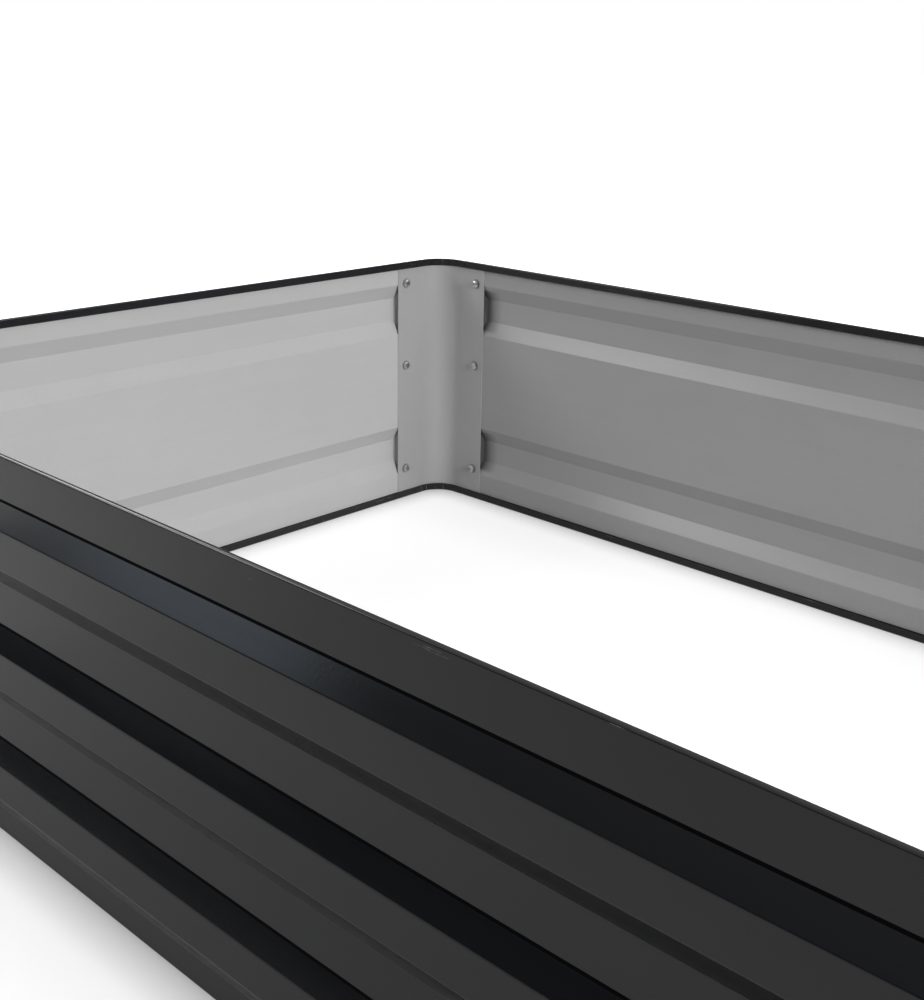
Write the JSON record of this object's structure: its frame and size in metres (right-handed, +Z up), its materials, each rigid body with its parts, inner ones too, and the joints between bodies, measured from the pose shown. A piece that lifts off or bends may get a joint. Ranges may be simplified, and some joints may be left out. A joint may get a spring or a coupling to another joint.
{
  "type": "raised garden bed",
  "caption": "Low rectangular raised garden bed, open above and below: ribbed sheet-steel panels with folded hems, bolted to rounded corner posts.",
  "frame": {"origin": "centre of the bed's footprint, on the ground", "axes": "+X along the long panels, +Y across the bed, +Z up; the front panel is on the -Y side"},
  "size_m": [1.5172, 0.8172, 0.3],
  "materials": {
    "panel_paint": "satin charcoal outside, satin light grey inside",
    "post_paint": "satin charcoal outside, mid-grey metallic inside",
    "screw_steel": "bright zinc",
    "washer_steel": "bright zinc",
    "nut_steel": "bright zinc"
  },
  "bodies": {
    "root": {"front_panel": "panel_paint", "right_panel": "panel_paint", "back_panel": "panel_paint", "left_panel": "panel_paint", "corner_post_front_left": "post_paint", "corner_post_front_right": "post_paint", "corner_post_back_right": "post_paint", "corner_post_back_left": "post_paint", "screws_front_left": "screw_steel", "screws_front_right": "screw_steel", "screws_back_right": "screw_steel", "screws_back_left": "screw_steel", "washers_front_left": "washer_steel", "washers_front_right": "washer_steel", "washers_back_right": "washer_steel", "washers_back_left": "washer_steel", "nuts_front_left": "nut_steel", "nuts_front_right": "nut_steel", "nuts_back_right": "nut_steel", "nuts_back_left": "nut_steel"}
  },
  "joints": []
}
